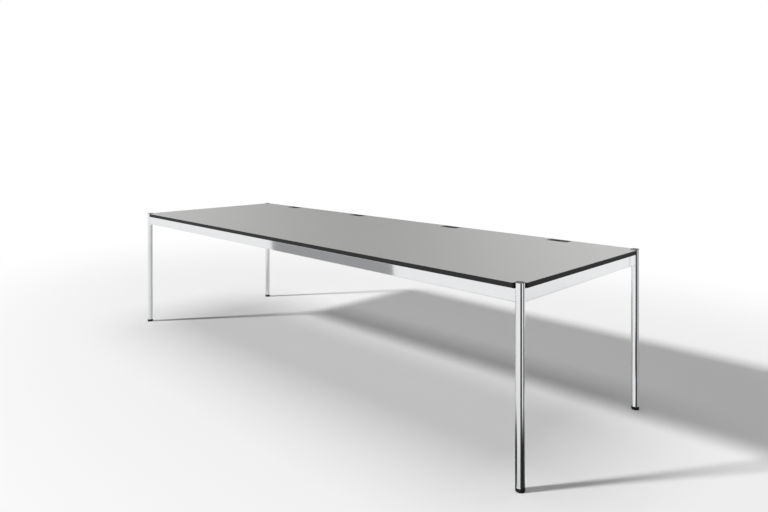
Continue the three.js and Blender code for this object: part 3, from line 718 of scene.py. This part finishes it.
# Cable outlets: a black moulded frame in each rear notch, with a throat that leads cables down
# past the rear rail, and a lid on a steel hinge pin with a gap in its front edge.
OUTLET_FIT = 0.0003
OUTLET_WALL = 0.003
OUTLET_EDGE = 0.0004
SKIRT_BACK = 0.0278
LID_T = 0.003
LID_GAP = 0.0005
LID_SEAT_GAP = 0.0001
LEDGE_WIDTH = 0.003
LEDGE_LENGTH = 0.032
CABLE_GAP_WIDTH = 0.030
CABLE_GAP_DEPTH = 0.026
CABLE_GAP_CORNER = 0.008
HINGE_PIN_RADIUS = 0.0015
HINGE_BORE_RADIUS = 0.00175
HINGE_HOLE_RADIUS = 0.0018
BARREL_RADIUS = 0.0035
BARREL_CLEARANCE = 0.001
OUTLET_SCREW_SPACING = 0.080
OUTLET_SCREW_Y = -0.0175
FRAME_LOW, FRAME_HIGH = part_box("outlet_frame_1")
FRAME_FLOOR = BAND_LOW.z + OUTLET_WALL
HINGE_Y = -0.004
HINGE_Z = FRAME_HIGH.z - BARREL_RADIUS
ALONG_HINGE = Matrix.Translation((0, HINGE_Y, HINGE_Z)) @ Matrix.Rotation(math.pi / 2, 4, "Y")

outer = OUTLET_WIDTH / 2 - OUTLET_FIT
inner = outer - OUTLET_WALL
front = OUTLET_FIT - OUTLET_DEPTH
inner_front = front + OUTLET_WALL
above = FRAME_HIGH.z + OUTLET_WALL
below = FRAME_LOW.z - OUTLET_WALL
rear_wall_top = HINGE_Z - BARREL_RADIUS - BARREL_CLEARANCE
bm = block((-outer, front, FRAME_LOW.z), (outer, 0, FRAME_HIGH.z))
bmesh.ops.bevel(bm, geom=upright_edges(bm, lambda co: co.y < inner_front),
                offset=OUTLET_CORNER - OUTLET_FIT, segments=8, profile=0.5,
                affect="EDGES", material=-1)
outlet_frame = to_object("frame", bm)
over_rail = block((-OUTLET_WIDTH, -SKIRT_BACK, below), (OUTLET_WIDTH, OUTLET_WALL, BAND_LOW.z))
well = block((-inner, inner_front, FRAME_FLOOR), (inner, -OUTLET_WALL, above))
lid_mouth = block((-inner, HINGE_Y, rear_wall_top), (inner, OUTLET_WALL, above))
throat = block((-inner, inner_front, below), (inner, -SKIRT_BACK - OUTLET_WALL, above))
for space in (over_rail, well, lid_mouth, throat):
    carve(outlet_frame, space)
ledge_top = FRAME_HIGH.z - LID_T - LID_SEAT_GAP
for side in (-1, 1):
    near, far = sorted((side * (inner - LEDGE_WIDTH), side * (inner + OUTLET_WALL / 2)))
    carve(outlet_frame, block((near, inner_front - OUTLET_WALL / 2, ledge_top - LEDGE_WIDTH),
                              (far, inner_front + LEDGE_LENGTH, ledge_top)), "UNION")
drill(outlet_frame, (-OUTLET_WIDTH, HINGE_Y, HINGE_Z), (1, 0, 0), HINGE_HOLE_RADIUS,
      2 * OUTLET_WIDTH)
for side in (-1, 1):
    drill(outlet_frame,
          (side * OUTLET_SCREW_SPACING / 2, OUTLET_SCREW_Y, BAND_LOW.z - OUTLET_WALL),
          (0, 0, 1), SCREW_HOLE_RADIUS, 3 * OUTLET_WALL)
soften(outlet_frame, OUTLET_EDGE)

lid_half = inner - LID_GAP
lid_front = inner_front + LID_GAP
gap = CABLE_GAP_WIDTH / 2
gap_end = lid_front + CABLE_GAP_DEPTH
bm = bmesh.new()
outline = [bm.verts.new((x, y, FRAME_HIGH.z)) for x, y in
           ((-lid_half, HINGE_Y), (-lid_half, lid_front), (-gap, lid_front), (-gap, gap_end),
            (gap, gap_end), (gap, lid_front), (lid_half, lid_front), (lid_half, HINGE_Y))]
bm.faces.new(outline)
bmesh.ops.bevel(bm, geom=outline[3:5], offset=CABLE_GAP_CORNER, segments=8, profile=0.5,
                affect="VERTICES", material=-1)
lowered = new_verts(bmesh.ops.extrude_face_region(bm, geom=bm.faces[:]))
bmesh.ops.translate(bm, verts=lowered, vec=(0, 0, -LID_T))
outlet_lid = to_object("lid", bm)
barrel = bmesh.new()
bmesh.ops.create_cone(barrel, cap_ends=True, segments=64, radius1=BARREL_RADIUS,
                      radius2=BARREL_RADIUS, depth=2 * lid_half, matrix=ALONG_HINGE)
carve(outlet_lid, barrel, "UNION")
drill(outlet_lid, (-OUTLET_WIDTH, HINGE_Y, HINGE_Z), (1, 0, 0), HINGE_BORE_RADIUS,
      2 * OUTLET_WIDTH)
soften(outlet_lid, OUTLET_EDGE)

hinge_pin = to_object("pin", turned([
    (0, -outer, 0), (HINGE_PIN_RADIUS, -outer, OUTLET_EDGE),
    (HINGE_PIN_RADIUS, outer, OUTLET_EDGE), (0, outer, 0)], steps=32))
hinge_pin.data.transform(ALONG_HINGE)

for i, x in zip(OUTLETS, OUTLET_X):
    place = Matrix.Translation((x, BOARD_HALF_Y, 0))
    finish_piece(copy_to(outlet_frame, f"moulded_outlet_frame_{i}", place), black_plastic,
                 "black_plastic", "table", f"outlet_frame_{i}", smooth=50)
    finish_piece(copy_to(outlet_lid, f"moulded_outlet_lid_{i}", place), black_plastic,
                 "black_plastic", f"lid_{i}", f"outlet_lid_{i}")
    finish_piece(copy_to(hinge_pin, f"steel_hinge_pin_{i}", place), zinc_plate,
                 "zinc_steel", "table", f"outlet_pin_{i}")
for pattern in (outlet_frame, outlet_lid, hinge_pin):
    bpy.data.objects.remove(pattern)


# Screws: zinc plated, with pan heads and cross recesses. They hold the board from below through
# the bracket tabs and the cross rails, and the outlet frames from above on the rear rail.
SCREW_RADIUS = 0.00225
SCREW_HEAD_RADIUS = 0.0045
SCREW_HEAD_HEIGHT = 0.003
SCREW_HEAD_ROUND = 0.0018
RECESS_LENGTH = 0.0046
RECESS_WIDTH = 0.001
RECESS_DEPTH = 0.0018
TAB_SCREW_LENGTH = 0.016
RAIL_SCREW_LENGTH = 0.062
OUTLET_SCREW_LENGTH = 0.010


def screw(length):
    """A screw pointing up, with the underside of its head at the origin."""
    obj = to_object("screw", turned([
        (0, -SCREW_HEAD_HEIGHT, 0), (SCREW_HEAD_RADIUS, -SCREW_HEAD_HEIGHT, SCREW_HEAD_ROUND),
        (SCREW_HEAD_RADIUS, 0, 0), (SCREW_RADIUS, 0, 0),
        (SCREW_RADIUS, length - 2 * SCREW_RADIUS, 0), (0, length, 0)], steps=32))
    for size in ((RECESS_LENGTH, RECESS_WIDTH), (RECESS_WIDTH, RECESS_LENGTH)):
        reach = Vector((*size, RECESS_DEPTH * 2)) / 2
        head_top = Vector((0, 0, -SCREW_HEAD_HEIGHT))
        carve(obj, block(head_top - reach, head_top + reach))
    return obj


tab_screw = screw(TAB_SCREW_LENGTH)
rail_screw = screw(RAIL_SCREW_LENGTH)
outlet_screw = screw(OUTLET_SCREW_LENGTH)
upside_down = Matrix.Rotation(math.pi, 4, "X")
screws = {}
for corner in CORNER_TURNS:
    for n, hole in enumerate(TAB_HOLES):
        seat = Matrix.Translation(hole + Vector((0, 0, BRACKET_HIGH.z - BRACKET_T)))
        screws[f"tab_screw_{corner}_{n}"] = (tab_screw, at_corner(corner) @ seat)
for side, x in CROSS_RAIL_X.items():
    for n, y in enumerate(CROSS_RAIL_SCREWS):
        screws[f"rail_screw_{side}_{n}"] = (rail_screw, Matrix.Translation((x, y, RAIL_LOW.z)))
for i, x in zip(OUTLETS, OUTLET_X):
    for n, side in enumerate((-1, 1)):
        seat = (x + side * OUTLET_SCREW_SPACING / 2, BOARD_HALF_Y + OUTLET_SCREW_Y, FRAME_FLOOR)
        screws[f"outlet_screw_{i}_{n}"] = (outlet_screw, Matrix.Translation(seat) @ upside_down)
for name, (pattern, place) in screws.items():
    finish_piece(copy_to(pattern, name, place), zinc_plate, "zinc_steel", "table")
for pattern in (tab_screw, rail_screw, outlet_screw):
    bpy.data.objects.remove(pattern)


# Studio floor: a plain pale floor that keeps the table's shadow. It turns white with the
# distance, for the camera and for what the chrome shows, without lighting the table more.
FLOOR_SIZE = 60
FLOOR_FADE_START = 1.0
FLOOR_FADE_END = 3.2
FLOOR_FADE_CENTRE = (0.2, 0.6, 0)
FLOOR_FADE_SHAPE = (0.6, 1, 1)

studio_floor, tree = new_material("pale_studio_floor")
coords = add_node(tree, "ShaderNodeTexCoord", {}, {})
offset = add_node(tree, "ShaderNodeVectorMath", {"operation": "SUBTRACT", 1: FLOOR_FADE_CENTRE},
                  {0: (coords, "Object")})
oval = add_node(tree, "ShaderNodeVectorMath", {"operation": "MULTIPLY", 1: FLOOR_FADE_SHAPE},
                {0: (offset, "Vector")})
radius = add_node(tree, "ShaderNodeVectorMath", {"operation": "LENGTH"}, {0: (oval, "Vector")})
fade = add_node(tree, "ShaderNodeMapRange",
                {"From Min": FLOOR_FADE_START, "From Max": FLOOR_FADE_END,
                 "interpolation_type": "SMOOTHSTEP"}, {"Value": (radius, "Value")})
paint = add_node(tree, "ShaderNodeBsdfDiffuse", {"Color": linear("f4f4f4")}, {})
white = add_node(tree, "ShaderNodeEmission", {"Color": linear("ffffff"), "Strength": 1}, {})
seen = add_node(tree, "ShaderNodeLightPath", {}, {})
mirrored = add_node(tree, "ShaderNodeMath", {"operation": "MAXIMUM"},
                    {0: (seen, "Is Camera Ray"), 1: (seen, "Is Glossy Ray")})
visible = add_node(tree, "ShaderNodeMath", {"operation": "MAXIMUM"},
                   {0: (mirrored, "Value"), 1: (seen, "Is Transmission Ray")})
share = add_node(tree, "ShaderNodeMath", {"operation": "MULTIPLY"},
                 {0: (fade, "Result"), 1: (visible, "Value")})
shader = add_node(tree, "ShaderNodeMixShader", {},
                  {"Fac": (share, "Value"), 1: (paint, "BSDF"), 2: (white, "Emission")})
add_node(tree, "ShaderNodeOutputMaterial", {}, {"Surface": (shader, "Shader")})

bm = bmesh.new()
bmesh.ops.create_grid(bm, x_segments=1, y_segments=1, size=FLOOR_SIZE / 2)
floor = to_object("floor", bm)
floor.data.materials.append(studio_floor)


# Studio light: one distant lamp from the front left draws the long shadow and stays out of
# reflections, and a large soft light hangs overhead. The background is white, a little dimmer
# behind the table for reflections.
LAMP_DIRECTION = Vector((-0.489, -0.703, 0.515))
LAMP_STRENGTH = 3.2
LAMP_SPREAD = 5.5
SOFTBOX_SIZE = 9
SOFTBOX_PLACE = (0, 1.2, 10)
SOFTBOX_POWER = 500
AMBIENT = 0.03
DIM_DIRECTION = (-0.73, 0.68, 0)
DIM_FULL_ANGLE = 4
DIM_END_ANGLE = 22

world = bpy.data.worlds.new("white_studio")
bpy.context.scene.world = world
world.use_nodes = True
tree = world.node_tree
tree.nodes.clear()
coords = add_node(tree, "ShaderNodeTexCoord", {}, {})
level = add_node(tree, "ShaderNodeVectorMath", {"operation": "MULTIPLY", 1: (1, 1, 0)},
                 {0: (coords, "Generated")})
compass = add_node(tree, "ShaderNodeVectorMath", {"operation": "NORMALIZE"}, {0: (level, "Vector")})
facing = add_node(tree, "ShaderNodeVectorMath", {"operation": "DOT_PRODUCT", 1: DIM_DIRECTION},
                  {0: (compass, "Vector")})
angle = add_node(tree, "ShaderNodeMath", {"operation": "ARCCOSINE"}, {0: (facing, "Value")})
dimmed = add_node(tree, "ShaderNodeMapRange",
                  {"From Min": math.radians(DIM_FULL_ANGLE),
                   "From Max": math.radians(DIM_END_ANGLE)}, {"Value": (angle, "Value")})
seen = add_node(tree, "ShaderNodeLightPath", {}, {})
mirrored = add_node(tree, "ShaderNodeMath", {"operation": "MULTIPLY"},
                    {0: (seen, "Is Glossy Ray"), 1: (dimmed, "Result")})
straight = add_node(tree, "ShaderNodeMath", {"operation": "MAXIMUM"},
                    {0: (seen, "Is Camera Ray"), 1: (seen, "Is Transmission Ray")})
visible = add_node(tree, "ShaderNodeMath", {"operation": "MAXIMUM"},
                   {0: (mirrored, "Value"), 1: (straight, "Value")})
strength = add_node(tree, "ShaderNodeMath", {"operation": "MAXIMUM", 1: AMBIENT},
                    {0: (visible, "Value")})
sky = add_node(tree, "ShaderNodeBackground", {"Color": linear("ffffff")},
               {"Strength": (strength, "Value")})
add_node(tree, "ShaderNodeOutputWorld", {}, {"Surface": (sky, "Background")})

lamp = bpy.data.lights.new("distant_lamp", "SUN")
lamp.energy = LAMP_STRENGTH
lamp.angle = math.radians(LAMP_SPREAD)
lamp_object = bpy.data.objects.new("distant_lamp", lamp)
lamp_object.rotation_euler = LAMP_DIRECTION.to_track_quat("Z", "Y").to_euler()
lamp_object.visible_glossy = False
bpy.context.scene.collection.objects.link(lamp_object)

softbox = bpy.data.lights.new("overhead_softbox", "AREA")
softbox.energy = SOFTBOX_POWER
softbox.size = SOFTBOX_SIZE
softbox_object = bpy.data.objects.new("overhead_softbox", softbox)
softbox_object.location = SOFTBOX_PLACE
bpy.context.scene.collection.objects.link(softbox_object)


# Studio cards: dark, grey and white glowing sheets that light nothing and that only reflections
# see: painted reflections, so that the chrome has something to show. One paints the darker stretch
# of the front rail, narrow ones stand close to the legs, and a dark mat lies round the front right
# leg.
RAIL_CARD_X = (-2.892, -1.081)
RAIL_CARD_Y = -2.4925
RAIL_CARD_HEIGHT = 0.25
RAIL_CARD_TONE = "a4a4a6"
# Each leg card: its leg, bearing from the leg, turn, distance, width, height and tone.
LEG_CARDS = (("front_right", -37, 0, 0.050, 0.029, 0.75, "343436"),
             ("front_right", 22, 0, 0.050, 0.026, 0.75, "3c3c3e"),
             ("rear_right", -42, 19, 0.040, 0.026, 0.75, "3c3c3e"),
             ("rear_right", -95, 0, 0.050, 0.050, 0.65, "ffffff"),
             ("rear_right", 33, -56, 0.080, 0.120, 0.75, "b0b0b2"),
             ("rear_right", 113, 0, 0.050, 0.026, 0.65, "3c3c3e"),
             ("rear_left", 146, 0, 0.050, 0.026, 0.65, "3c3c3e"),
             ("rear_left", 20, 0, 0.050, 0.120, 0.66, "cdcdcf"),
             ("front_left", 155, 0, 0.050, 0.026, 0.65, "3c3c3e"),
             ("front_left", -105, 0, 0.050, 0.054, 0.66, "ffffff"),
             ("front_left", -30, 0, 0.050, 0.048, 0.66, "e2e2e4"),
             ("front_left", 28, 0, 0.050, 0.056, 0.66, "bcbcbe"))
MAT_RADIUS = 0.85
MAT_FULL = 0.33
MAT_LIFT = 0.001
MAT_OPEN = ((-131, -50), (72, 122))
MAT_TONE = "2d2d2e"


def stage_card(name, bm, material):
    """A card that only reflections see."""
    card = to_object(name, bm)
    card.data.materials.append(material)
    card.visible_camera = False
    card.visible_diffuse = False
    card.visible_transmission = False
    card.visible_shadow = False


def add_card(name, foot, facing, width, height, tone):
    """An upright card that stands at its foot point and faces a direction."""
    material, tree = new_material(f"{name}_painted_reflection")
    # The card glows in its tone and lights nothing: a painted reflection that only the chrome
    # shows.
    glow = add_node(tree, "ShaderNodeEmission", {"Color": linear(tone), "Strength": 1}, {})
    add_node(tree, "ShaderNodeOutputMaterial", {}, {"Surface": (glow, "Emission")})
    turn = Vector(facing).to_track_quat("Z", "Y").to_matrix().to_4x4()
    place = (Matrix.Translation(Vector(foot) + Vector((0, 0, height / 2))) @ turn
             @ Matrix.Diagonal((width, height, 1, 1)))
    bm = bmesh.new()
    bmesh.ops.create_grid(bm, x_segments=1, y_segments=1, size=0.5, matrix=place)
    stage_card(name, bm, material)


add_card("rail_card", (sum(RAIL_CARD_X) / 2, RAIL_CARD_Y, 0), (0, 1, 0),
         RAIL_CARD_X[1] - RAIL_CARD_X[0], RAIL_CARD_HEIGHT, RAIL_CARD_TONE)
for corner, bearing, turn, distance, width, height, tone in LEG_CARDS:
    away = Matrix.Rotation(math.radians(bearing), 3, "Z") @ Vector((1, 0, 0))
    foot = LEG_AXES[corner].xy.to_3d() + away * distance
    facing = Matrix.Rotation(math.radians(turn), 3, "Z") @ -away
    add_card(f"leg_card_{corner}_{bearing}", foot, facing, width, height, tone)

near_leg = LEG_AXES["front_right"].xy.to_3d()
# The mat glows dark, lights nothing and fades out from the leg: a painted dark reflection in the
# legs' lower ends.
dark_mat, tree = new_material("dark_mat_painted_reflection")
coords = add_node(tree, "ShaderNodeTexCoord", {}, {})
distance = add_node(tree, "ShaderNodeVectorMath", {"operation": "DISTANCE", 1: near_leg},
                    {0: (coords, "Object")})
cover = add_node(tree, "ShaderNodeMapRange",
                 {"From Min": MAT_FULL, "From Max": MAT_RADIUS, "To Min": 1, "To Max": 0,
                  "interpolation_type": "SMOOTHSTEP"}, {"Value": (distance, "Value")})
clear = add_node(tree, "ShaderNodeBsdfTransparent", {}, {})
glow = add_node(tree, "ShaderNodeEmission", {"Color": linear(MAT_TONE), "Strength": 1}, {})
shader = add_node(tree, "ShaderNodeMixShader", {},
                  {"Fac": (cover, "Result"), 1: (clear, "BSDF"), 2: (glow, "Emission")})
add_node(tree, "ShaderNodeOutputMaterial", {}, {"Surface": (shader, "Shader")})

bm = bmesh.new()
bmesh.ops.create_circle(bm, cap_ends=True, cap_tris=True, segments=72, radius=MAT_RADIUS)
bearings = {f: math.degrees(math.atan2(*f.calc_center_median().yx)) for f in bm.faces}
open_sides = [f for f, bearing in bearings.items()
              if any(low < bearing < high for low, high in MAT_OPEN)]
bmesh.ops.delete(bm, geom=open_sides, context="FACES")
bmesh.ops.translate(bm, verts=bm.verts, vec=near_leg + Vector((0, 0, MAT_LIFT)))
stage_card("leg_mat", bm, dark_mat)


# Camera: level, at chest height in front of the right-hand corner, with the picture shifted
# down as a view camera does.
CAMERA_PLACE = (2.7217, -2.4071, 1.2513)
CAMERA_TURN = 45
CAMERA_LENS = 29.45
CAMERA_SENSOR = 36
CAMERA_SHIFT = -0.1518
camera = bpy.data.cameras.new("camera")
camera.lens = CAMERA_LENS
camera.sensor_width = CAMERA_SENSOR
camera.shift_y = CAMERA_SHIFT
camera_object = bpy.data.objects.new("camera", camera)
camera_object.location = CAMERA_PLACE
camera_object.rotation_euler = (math.pi / 2, 0, math.radians(CAMERA_TURN))
bpy.context.scene.collection.objects.link(camera_object)
bpy.context.scene.camera = camera_object
bpy.context.scene.view_settings.view_transform = "Standard"
